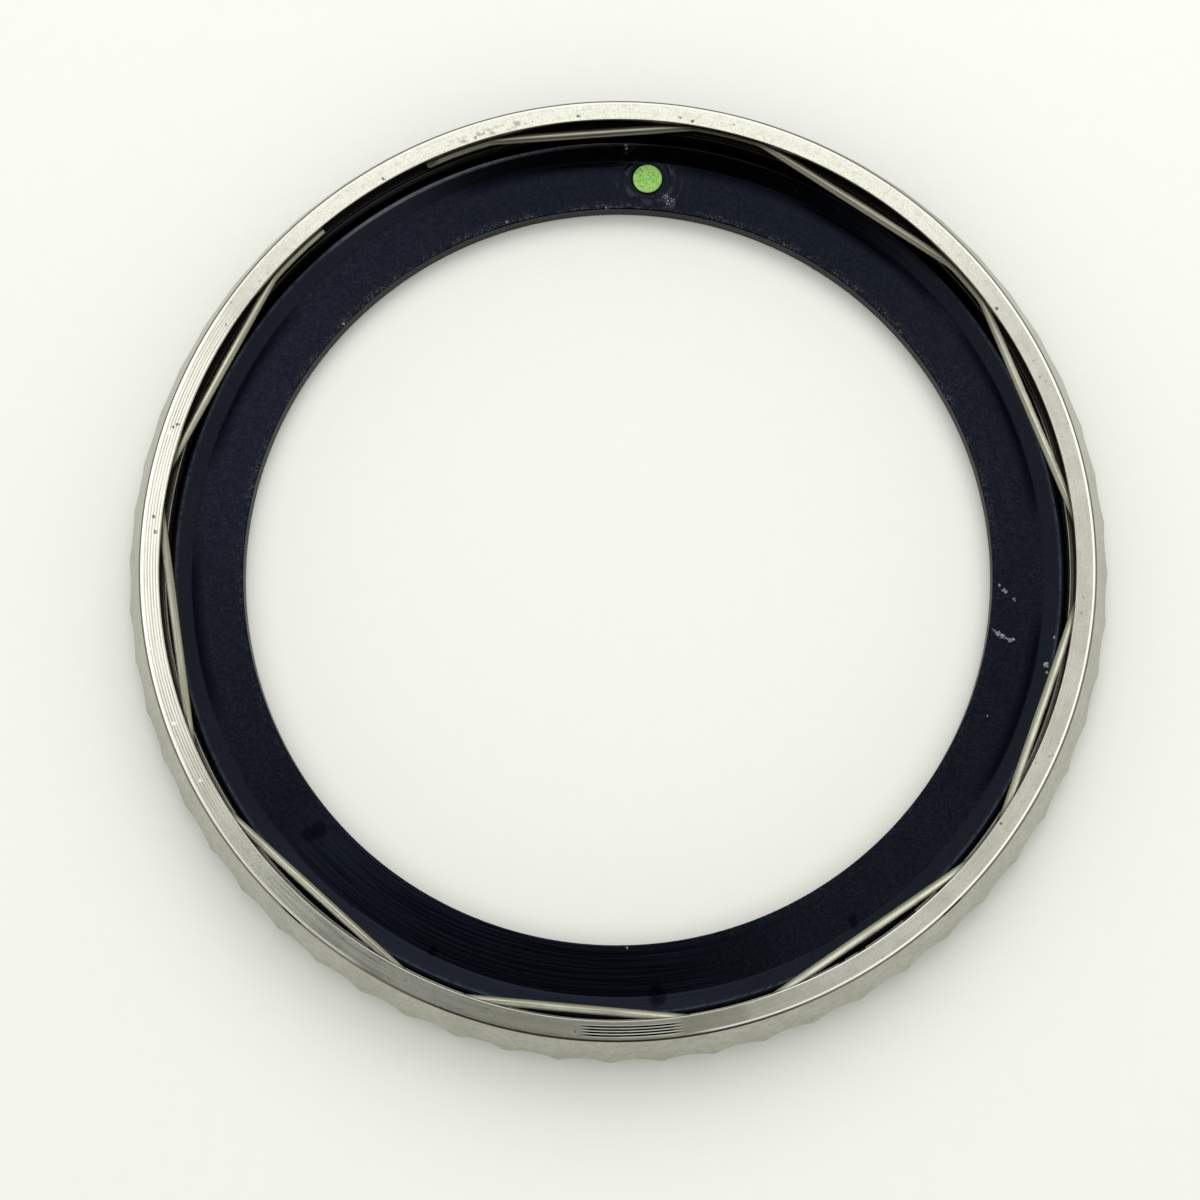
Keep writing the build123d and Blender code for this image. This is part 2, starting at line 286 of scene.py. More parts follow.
def ring_shape():
    """The steel ring: at each angle, a section whose grip is as far out as the scoops leave it.

    The bevel and the tapered wall each meet the grip where their own radius equals the grip's, so
    a row of points follows each scalloped edge. Each corner is a radius, a height and a rounding.
    """
    offsets = np.concatenate([-SCOOP_STEPS[:0:-1], SCOOP_STEPS, [np.pi / SCOOPS]])
    middles = np.arange(SCOOPS)[:, None] * 2 * np.pi / SCOOPS + math.radians(GRIP_TURN)
    angles = (middles + offsets).ravel()
    grip = grip_radius(np.tile(offsets, SCOOPS))
    bevel = (grip - FRONT_LIP_RADIUS) / (CONE_BASE_RADIUS - FRONT_LIP_RADIUS) * FRONT_BEVEL_TOP
    cone_top = TOTAL_HEIGHT - RIM_CHAMFER
    slope = (cone_top - CONE_BASE) / (CONE_BASE_RADIUS - RIM_OUTER_RADIUS)
    wall = CONE_BASE + (CONE_BASE_RADIUS - grip) * slope
    places = [
        (RECESS_RADIUS, 0, 0.03),
        (FRONT_LIP_RADIUS, 0, 0.05),
        (grip, bevel, 0.04),
        (grip, wall, 0.025),
        (RIM_OUTER_RADIUS, cone_top, 0.02),
        (RIM_OUTER_RADIUS - RIM_CHAMFER, TOTAL_HEIGHT, 0.02),
        (RIM_BORE_RADIUS, TOTAL_HEIGHT, 0.035),
        (RIM_BORE_RADIUS, GROOVE_TOP, 0.02),
        (GROOVE_RADIUS, GROOVE_TOP, 0.05),
        (GROOVE_RADIUS, GROOVE_BOTTOM, 0.05),
        (LIP_BORE_RADIUS, GROOVE_BOTTOM, 0.03),
        (LIP_BORE_RADIUS, SEAT_HEIGHT, 0.02),
        (RECESS_RADIUS, SEAT_HEIGHT, 0.03),
    ]
    corners = np.array([np.stack(np.broadcast_arrays(r, z, grip)[:2], -1) for r, z, _ in places])
    section = rounded(corners, [radius for *_, radius in places])
    faces = quads(numbered(section), close_rows=True).reshape(-1, 4).tolist()
    return piece("bezel_ring_finished", about_axis(section, angles), faces)


def wire_line():
    """The wire's centreline and the outward directions along it.

    Every stretch is an arc about its own centre, and a straight run joins the ends of two arcs that
    share a direction. A bend's centre lies a bend radius inside its run and its reach circle.
    """
    centres, radii, directions = [], [], []

    def arc(centre, radius, start, end, steps):
        centres.append(np.tile(centre, (steps, 1)))
        radii.append(np.full(steps, radius))
        directions.append(np.linspace(start, end, steps))

    angle = math.radians(WIRE_START)
    for (facing, apothem), reach, next_reach in zip(RUNS, REACHES, REACHES[1:]):
        direction = math.radians(facing)
        outward = np.array([math.cos(direction), math.sin(direction)])
        forward = np.array([-outward[1], outward[0]])
        across = apothem - BEND_RADIUS
        before = math.sqrt((reach - BEND_RADIUS) ** 2 - across**2)
        after = math.sqrt((next_reach - BEND_RADIUS) ** 2 - across**2)
        start = direction - math.atan2(before, across)
        arc((0, 0), reach, angle, start, REACH_STEPS)
        arc(outward * across - forward * before, BEND_RADIUS, start, direction, BEND_STEPS)
        angle = direction + math.atan2(after, across)
        arc(outward * across + forward * after, BEND_RADIUS, direction, angle, BEND_STEPS)
    arc((0, 0), REACHES[-1], angle, math.radians(WIRE_END), REACH_STEPS)
    centre, radius, turn = map(np.concatenate, (centres, radii, directions))
    outward = np.stack([np.cos(turn), np.sin(turn)], axis=-1)
    points = centre + radius[:, None] * outward
    keep = np.append(True, np.linalg.norm(np.diff(points, axis=0), axis=1) > 1e-6)
    return points[keep], outward[keep]


def wire_shape():
    """A round tube along the wire's line, with its two square ends broken by a small bevel.

    Each point carries its own place on the wire: the cosine and sine of its turn about the
    centreline, and the distance along it.
    """
    line, outward = wire_line()
    along = np.stack([-outward[:, 1], outward[:, 0]], axis=-1)
    after_start = line[:1] + along[:1] * WIRE_BREAK
    before_end = line[-1:] - along[-1:] * WIRE_BREAK
    line = np.concatenate([line[:1], after_start, line[1:-1], before_end, line[-1:]])
    outward = np.concatenate([outward[:1], outward, outward[-1:]])
    radius = np.full(len(line), WIRE_DIAMETER / 2)
    radius[[0, -1]] -= WIRE_BREAK
    turn = -np.linspace(0, 2 * np.pi, WIRE_COLUMNS, endpoint=False)
    out, up = np.cos(turn), np.sin(turn)
    flat = line[:, None, :] + outward[:, None, :] * (radius[:, None] * out)[..., None]
    height = WIRE_HEIGHT + radius[:, None] * up
    points = np.concatenate([flat, height[..., None]], axis=-1)
    index = numbered(points)
    faces = quads(index).reshape(-1, 4).tolist()
    ends = [index[0][::-1].tolist(), index[-1].tolist()]
    made = piece("retaining_spring_finished", points, [*faces, *ends], "spring")
    length = np.append(0, np.cumsum(np.linalg.norm(np.diff(line, axis=0), axis=1)))
    own = np.stack(np.broadcast_arrays(out, up, length[:, None]), axis=-1)
    carried = made.data.attributes.new("place_on_wire", "FLOAT_VECTOR", "POINT")
    carried.data.foreach_set("vector", own.ravel())
    return made


def back_height(radius, from_mark):
    """Height of the insert's back.

    It is flat out to the band and then rises with the band's slope, blended as
    k log(1 + exp(d / k)) for a distance d beyond the band's start. The witness ring is a shallow
    trough of depth (1 - t^2)^2 in the flat, where t runs from -1 to 1 across its width.
    """
    beyond = BAND_BLEND * np.logaddexp(0, (radius - BAND_RADIUS) / BAND_BLEND)
    middle = WITNESS_RING_RADIUS - WITNESS_RING_WIDTH / 2
    trough = np.clip(1 - ((from_mark - middle) / (WITNESS_RING_WIDTH / 2)) ** 2, 0, 1) ** 2
    trough = trough * np.clip((BAND_RADIUS - 0.02 - radius) / 0.03, 0, 1)
    return BACK_FACE + math.tan(BAND_SLOPE) * beyond - WITNESS_RING_DEPTH * trough


def insert_shape():
    """The insert: a turned section with a window on each face round the mark.

    The section's rows and the angles between them make the body. A window of that grid is left
    out on the back and on the front. A strip of loops joins the two windows' edges: each loop
    blends from the window's outline into circles round the mark, down the hole and the pocket.
    """
    centre_radius = BOSS_RADIUS - SHOULDER_ROUND
    centre_height = (
        BACK_FACE
        + math.tan(BAND_SLOPE) * (centre_radius - BAND_RADIUS)
        - SHOULDER_ROUND / math.cos(BAND_SLOPE)
    )
    tangent = centre_radius - SHOULDER_ROUND * math.sin(BAND_SLOPE)
    band_start, band_count = BAND_ROWS
    rows = np.concatenate([FLAT_ROWS, FOOT_ROWS, np.linspace(band_start, tangent, band_count)])
    shoulder = np.linspace(0, np.pi / 2 + BAND_SLOPE, SHOULDER_STEPS)[:-1]
    lower = np.array(
        [(rows[-1], FRONT_FACE), (FLANGE_RADIUS, FRONT_FACE), (FLANGE_RADIUS, FLANGE_BACK),
         (BOSS_RADIUS, FLANGE_BACK), (BOSS_RADIUS, centre_height)]
    )
    inner = np.array(
        [(rows[0], BACK_FACE), (HOLE_RADIUS, BACK_FACE),
         (HOLE_RADIUS, FRONT_FACE), (rows[0], FRONT_FACE)]
    )
    hole_rows = rounded(inner, [0, HOLE_ROUND, HOLE_ROUND, 0], support=HOLE_SUPPORT)[1:-1]
    section = np.concatenate(
        [
            np.stack([rows, np.full(len(rows), FRONT_FACE)], -1),
            rounded(lower, [0, 0.03, 0.03, 0.04, 0])[1:-1],
            np.stack([centre_radius + SHOULDER_ROUND * np.cos(shoulder),
                      centre_height + SHOULDER_ROUND * np.sin(shoulder)], -1),
            np.stack([rows[::-1], back_height(rows[::-1], np.full(len(rows), FAR_FROM_MARK))], -1),
            hole_rows,
        ]
    )
    near = np.linspace(-WINDOW_HALF, WINDOW_HALF, WINDOW_COLUMNS)
    far = np.linspace(WINDOW_HALF, 2 * np.pi - WINDOW_HALF, FAR_COLUMNS)[1:-1]
    angles = np.pi / 2 + np.concatenate([near, far])
    body = about_axis(section[:, None, :], angles)
    index = numbered(body)
    count, across = len(rows), len(near)
    back_start = len(section) - len(hole_rows) - count

    def outline(grid):
        """Point numbers round a window, anticlockwise seen from the back."""
        return np.concatenate([grid[0, :-1], grid[:-1, -1], grid[-1, :0:-1], grid[:0:-1, 0]])[::-1]

    front_window = index[:count, :across]
    back_window = index[back_start : back_start + count, :across][::-1]
    body_faces = quads(index, close_rows=True)
    open_faces = np.ones(body_faces.shape[:2], bool)
    open_faces[: count - 1, : across - 1] = False
    open_faces[back_start : back_start + count - 1, : across - 1] = False

    front_loop, back_loop = outline(front_window), outline(back_window)
    edge = body.reshape(-1, 3)[back_loop][:, :2]
    from_mark = edge - (0, MARK_RADIUS)
    outline_distance = np.linalg.norm(from_mark, axis=1)
    direction = from_mark / outline_distance[:, None]
    ring_low = WITNESS_RING_RADIUS - WITNESS_RING_WIDTH
    trough_circles = np.linspace(WITNESS_RING_RADIUS, ring_low, 9)
    back_circles = np.concatenate([[WITNESS_RING_RADIUS + 0.03], trough_circles, INNER_CIRCLES])
    blends = np.linspace(0, 1, 7)[1:-1, None]
    outer_back = back_circles[0] * blends + outline_distance * (1 - blends)
    back_flat = np.concatenate([outer_back, np.repeat(back_circles[:, None], len(edge), 1)])
    back_xy = direction * back_flat[..., None] + (0, MARK_RADIUS)
    back_z = back_height(np.linalg.norm(back_xy, axis=-1), back_flat)
    hole = rounded(
        np.array([(back_circles[-1], BACK_FACE), (MARK_REAR_RADIUS, BACK_FACE),
                  (MARK_REAR_RADIUS, MARK_POCKET_FLOOR), (MARK_POCKET_RADIUS, MARK_POCKET_FLOOR),
                  (MARK_POCKET_RADIUS, FRONT_FACE), (FRONT_CIRCLE, FRONT_FACE)]),
        [0, 0.02, 0.02, 0.02, 0.02, 0],
    )[1:]
    hole_xy = direction * hole[:, None, :1] + (0, MARK_RADIUS)
    hole_z = np.repeat(hole[:, 1:], len(edge), 1)
    outer_front = hole[-1, 0] * (1 - blends) + outline_distance * blends
    front_xy = direction * outer_front[..., None] + (0, MARK_RADIUS)
    front_z = np.full(outer_front.shape, FRONT_FACE)
    strip = np.concatenate(
        [np.concatenate([xy, z[..., None]], -1)
         for xy, z in ((back_xy, back_z), (hole_xy, hole_z), (front_xy, front_z))]
    )
    strip_faces = quads(np.vstack([back_loop, index.size + numbered(strip), front_loop]))
    points = np.concatenate([body.reshape(-1, 3), strip.reshape(-1, 3)])
    faces = np.concatenate([body_faces[open_faces], strip_faces.reshape(-1, 4)])
    used, faces = np.unique(faces, return_inverse=True)
    return piece("insert_finished", points[used], faces.reshape(-1, 4).tolist())


def grains(points):
    """Heights of a granular face: the sum of round humps exp(-(d / width)^2) at seeded places."""
    random = np.random.default_rng(GRAIN_SEED)
    reach = STEM_RADIUS * np.sqrt(random.random(GRAIN_COUNT))
    turn = random.random(GRAIN_COUNT) * 2 * np.pi
    tall = GRAIN_HEIGHT * random.uniform(0.3, 1.0, GRAIN_COUNT)
    centre = np.array([STEM_SHIFT[0], MARK_RADIUS + STEM_SHIFT[1]])
    middle = centre + np.stack([reach * np.cos(turn), reach * np.sin(turn)], -1)
    flat = points.reshape(-1, 3)
    apart = np.linalg.norm(flat[:, None, :2] - middle, axis=-1)
    hump = (tall * np.exp(-((apart / GRAIN_WIDTH) ** 2))).sum(1) - 0.6 * GRAIN_HEIGHT
    top = BACK_FACE - MARK_REAR_RECESS
    from_axis = np.linalg.norm(flat[:, :2] - centre, axis=1)
    inside = np.clip((STEM_RADIUS - 0.02 - from_axis) / 0.05, 0, 1)
    return (hump * inside * (flat[:, 2] > top - 0.005)).reshape(points.shape[:-1])


def mark_shapes():
    """The luminous plug with its granular rear end, the collar round it and the domed lens."""
    stem = STEM_RADIUS
    wide = COLLAR_BORE_RADIUS - MARK_CLEARANCE
    top = BACK_FACE - MARK_REAR_RECESS
    sides = rounded(
        np.array([(POLE_RADIUS, LENS_BACK), (wide, LENS_BACK), (wide, MARK_POCKET_FLOOR),
                  (stem, MARK_POCKET_FLOOR), (stem, top), (POLE_RADIUS, top)]),
        [0, 0.01, 0.01, 0.01, 0.02, 0],
    )[:-1]
    rings = np.linspace(stem - 0.05, 0.008, 36)
    plug = np.concatenate([sides, np.stack([rings, np.full(len(rings), top)], -1)])

    def about_plug(section, angles):
        """Points round the mark's axis, and for the stem's rows round its shifted axis."""
        on_stem = (section[..., :1] < stem + 0.03) & (section[..., 1:] > LENS_BACK + 0.1)
        return about_mark(section, angles) + on_stem * np.array(STEM_SHIFT)

    fill = closed_lathe("luminous_fill_finished", plug, about_plug, PLUG_COLUMNS, grains)
    outside = MARK_POCKET_RADIUS - MARK_CLEARANCE
    collar_section = rounded(
        np.array([(COLLAR_BORE_RADIUS, COLLAR_FRONT), (outside, COLLAR_FRONT),
                  (outside, MARK_POCKET_FLOOR), (COLLAR_BORE_RADIUS, MARK_POCKET_FLOOR)]),
        [0.04, 0.03, 0.015, 0.015],
    )
    collar = closed_ring("pip_collar_finished", collar_section)
    rise = LENS_EDGE - LENS_TOP
    ball = (wide**2 + rise**2) / (2 * rise)
    dome = np.linspace(POLE_RADIUS, wide - 0.01, 24)
    front = np.stack([dome, LENS_TOP + ball - np.sqrt(ball**2 - dome**2)], -1)
    rear = np.array([(wide, LENS_EDGE + 0.01), (wide, LENS_BACK - 0.01),
                     (wide - 0.01, LENS_BACK), (POLE_RADIUS, LENS_BACK)])
    lens = closed_lathe("pip_lens_finished", np.concatenate([front, rear]))
    return fill, collar, lens


# -------- materials


def arithmetic(operation, swapped=False):
    """A Python operator that adds one Math node."""

    def apply(value, other):
        first, second = (other, value) if swapped else (value, other)
        return value.recipe.node("ShaderNodeMath", {"operation": operation}, {0: first, 1: second})

    return apply


class Value:
    """A socket's number or colour inside a recipe. Sums and products of numbers add Math nodes."""

    def __init__(self, recipe, socket):
        self.recipe = recipe
        self.socket = socket

    __add__ = __radd__ = arithmetic("ADD")
    __mul__ = __rmul__ = arithmetic("MULTIPLY")
    __sub__ = arithmetic("SUBTRACT")
    __rsub__ = arithmetic("SUBTRACT", swapped=True)
    __truediv__ = arithmetic("DIVIDE")
    __pow__ = arithmetic("POWER")
    greater = arithmetic("MAXIMUM")

    def rise(self, low, high, before=0.0, after=1.0):
        """0 below low, 1 above high and a smooth rise between them."""
        sockets = {0: self, 1: low, 2: high, 3: before, 4: after}
        return self.recipe.node("ShaderNodeMapRange", {"interpolation_type": "SMOOTHSTEP"}, sockets)

    def fall(self, low, high):
        """1 below low, 0 above high and a smooth fall between them."""
        return self.rise(low, high, 1.0, 0.0)

    def near(self, middle, reach, soft):
        """1 within reach of the middle value, with soft edges."""
        return self.rise(middle - reach - soft, middle - reach) * self.fall(
            middle + reach, middle + reach + soft
        )


def greatest(values):
    """The greatest of several values."""
    return reduce(Value.greater, values)


def opaque(colour):
    """A colour of three numbers with its fourth, or a link as it is."""
    return colour if isinstance(colour, Value) else (*colour, 1)


class Recipe:
    """The nodes of one material or of the world, with the point on the object in millimetres."""

    def __init__(self, owner):
        owner.use_nodes = True
        self.owner = owner
        self.tree = owner.node_tree
        self.tree.nodes.clear()

    def node(self, kind, settings=None, sockets=None, out=0):
        """A node of a kind: its settings first, then a number, colour or link for each socket."""
        made = self.tree.nodes.new(kind)
        for setting, value in (settings or {}).items():
            setattr(made, setting, value)
        for socket, value in (sockets or {}).items():
            if isinstance(value, Value):
                self.tree.links.new(value.socket, made.inputs[socket])
            else:
                made.inputs[socket].default_value = value
        return Value(self, made.outputs[out]) if len(made.outputs) else made

    def outputs(self, value):
        """All outputs of the node that a value comes from."""
        return [Value(self, socket) for socket in value.socket.node.outputs]

    def mix(self, amount, first, second):
        """A colour between two others."""
        sockets = {0: amount, 6: opaque(first), 7: opaque(second)}
        return self.node("ShaderNodeMix", {"data_type": "RGBA"}, sockets, out=2)

    def painted(self, tone, *coats):
        """A colour under coats, each its cover and its colour, with the later ones on top."""
        for cover, colour in coats:
            tone = self.mix(cover, tone, colour)
        return tone

    def vector(self, *parts):
        """Three numbers as one vector."""
        return self.node("ShaderNodeCombineXYZ", sockets=dict(enumerate(parts)))

    def noise(self, vector, detail=2.0):
        """Soft noise between 0 and 1, one lump to a unit of the vector."""
        sockets = {"Vector": vector, "Scale": 1.0, "Detail": detail, "Roughness": 0.5}
        return self.node("ShaderNodeTexNoise", sockets=sockets)

    def lumps(self, size, detail=2.0):
        """Soft noise between 0 and 1 on the object, with lumps of a size in millimetres."""
        return self.noise(self.scaled(size), detail)

    def cells(self, size):
        """Distance to the nearest of scattered points, which lie about a size apart."""
        sockets = {"Vector": self.scaled(size), "Scale": 1.0, "Randomness": 1.0}
        return self.node("ShaderNodeTexVoronoi", sockets=sockets)

    def places(self):
        """The point on the object: x, y, z, the radius about the axis and the direction from it."""
        point = self.node("ShaderNodeTexCoord", out=3)
        self.x, self.y, self.z = (
            part * (1 / MM)
            for part in self.outputs(self.node("ShaderNodeSeparateXYZ", sockets={0: point}))
        )
        self.radius = (self.x * self.x + self.y * self.y) ** 0.5
        self.east = self.x / self.radius
        self.north = self.y / self.radius
        self.point = self.vector(self.x, self.y, self.z)

    def turning(self, fineness, drift, detail=2.0):
        """Marks that a cutting tool leaves round the axis: noise across, long and slow along."""
        across = (self.radius + self.z) * fineness
        return self.noise(self.vector(across, self.east * drift, self.north * drift), detail)

    def toward(self, azimuth, reach, soft):
        """1 within reach of an azimuth about the axis, in degrees, with soft ends."""
        turn = math.radians(azimuth)
        cosine = self.east * math.cos(turn) + self.north * math.sin(turn)
        return cosine.rise(math.cos(math.radians(reach + soft)), math.cos(math.radians(reach)))

    def spots(self, marks, soft=0.03):
        """1 at any of several small ragged marks, each a place (x, y, z) and a reach."""
        ragged = (self.lumps(0.07) - 0.5) * 0.22
        return greatest(
            (self.distance(self.point, place) + ragged).fall(reach, reach + soft)
            for *place, reach in marks
        )

    def distance(self, point, place):
        """The distance between a point and a place, in millimetres."""
        sockets = {0: point, 1: place}
        return self.node("ShaderNodeVectorMath", {"operation": "DISTANCE"}, sockets, out=1)

    def streaks(self, angle, length, width):
        """Short straight streaks at an angle: noise that is stretched along them."""
        cos, sin = math.cos(math.radians(angle)), math.sin(math.radians(angle))
        along = (self.x * cos + self.y * sin) * (1 / length)
        across = (self.y * cos - self.x * sin) * (1 / width)
        return self.noise(self.vector(along, across, self.z * (1 / length)), 1.0)

    def scaled(self, size):
        """The point on the object measured in units of a size in millimetres."""
        return self.vector(self.x * (1 / size), self.y * (1 / size), self.z * (1 / size))

    def surface(self, tone, rough, height=None, more=None):
        """The finished surface: its colour, roughness, relief in millimetres and other sockets."""
        sockets = {"Base Color": opaque(tone), "Roughness": rough, **(more or {})}
        if height is not None:
            relief = {"Strength": 1.0, "Distance": MM, "Height": height}
            sockets["Normal"] = self.node("ShaderNodeBump", sockets=relief)
        shader = self.node("ShaderNodeBsdfPrincipled", sockets=sockets)
        self.node("ShaderNodeOutputMaterial", sockets={"Surface": shader})
        return self.owner


def material(name):
    """An empty recipe for a material that knows its point on the object."""
    recipe = Recipe(bpy.data.materials.new(name))
    recipe.places()
    return recipe


def on_face(marks, height):
    """Places and reaches of marks on a flat face, from azimuths in degrees, radii and reaches."""
    places = []
    for azimuth, radius, reach in marks:
        turn = math.radians(azimuth)
        places.append((radius * math.cos(turn), radius * math.sin(turn), height, reach))
    return places


# Turned metal, whose fine lines spread its reflections
TURNED_METAL = {"Metallic": 1.0, "Anisotropic": 0.5, "Anisotropic Rotation": 0.25}


# Azimuth, radius and reach of dents and light nicks in the rim's face
RIM_PITS = (
    (37.9, 18.56, 0.05), (79.4, 18.80, 0.01), (84.6, 18.58, 0.05), (86.2, 18.66, 0.03),
    (99.2, 18.63, 0.04), (105.0, 18.66, 0.01), (112.5, 18.60, 0.02), (125.5, 18.58, 0.05),
    (153.0, 18.66, 0.02), (167.1, 18.66, 0.05), (167.6, 18.78, 0.04), (179.1, 18.75, 0.04),
    (181.0, 18.62, 0.05), (269.3, 18.90, 0.04), (276.0, 18.58, 0.01), (329.0, 18.55, 0.03),
)
RIM_GLINTS = (
    (168.4, 18.86, 0.05), (205.2, 18.85, 0.05), (212.9, 18.80, 0.04), (195.5, 18.95, 0.03),
    (63.0, 18.95, 0.01),
)
# Azimuths and half widths, in degrees, of dark gaps in the lip's light edge
LIP_GAPS = ((303.3, 0.4), (306.1, 0.5), (313.4, 0.95), (318.5, 0.5))
RIM_LINE_PITCH = 0.112
WALL_TAPER = 0.364  # radius that the tapered wall loses for each millimetre of height

# Colours of the steel ring
SATIN_DARK, SATIN_LIGHT = (0.47, 0.475, 0.405), (0.53, 0.535, 0.46)
WALL_PAINTED_SHADE, WALL_MOTTLE = (0.1, 0.1, 0.085), (0.34, 0.34, 0.285)
WALL_GRAIN, SPECK, SCOOP_PAINTED_SHADE = (0.27, 0.265, 0.22), (0.17, 0.16, 0.13), (0.2, 0.2, 0.165)
RIM_PAINTED_LIGHT, RIM_PAINTED_SHEEN, RIM_PAINTED_WARM_SHADE = (0.72, 0.72, 0.63), (0.76, 0.76, 0.67), (0.44, 0.44, 0.335)
RIM_GRAIN, RIM_MOTTLE, RIM_DARK_PATCH = (0.32, 0.32, 0.27), (0.36, 0.36, 0.3), (0.22, 0.22, 0.18)
LINE_PAINTED_HIGHLIGHT, LINE_PAINTED_SHADE = (0.9, 0.9, 0.8), (0.26, 0.26, 0.2)
MARK_LIGHT, MARK_DARK = (0.84, 0.84, 0.76), (0.18, 0.18, 0.15)
BOLD_GROOVE_SHADE, BOLD_CREST_HIGHLIGHT = (0.002, 0.002, 0.002), (0.88, 0.88, 0.78)
SCUFFED_STEEL = (0.17, 0.17, 0.14)
OUTER_EDGE_HIGHLIGHT, INNER_EDGE_HIGHLIGHT = (0.92, 0.92, 0.86), (0.92, 0.92, 0.87)
CHAMFER_PAINTED_SHADE, BORE_PAINTED_SHADE = (0.105, 0.088, 0.068), (0.08, 0.07, 0.05)
LIP_PAINTED_SHADE = (0.12, 0.11, 0.085)
GROOVE_PAINTED_SHADE, PIT_DARK, GLINT = (0.03, 0.026, 0.022), (0.04, 0.035, 0.028), (0.9, 0.9, 0.86)


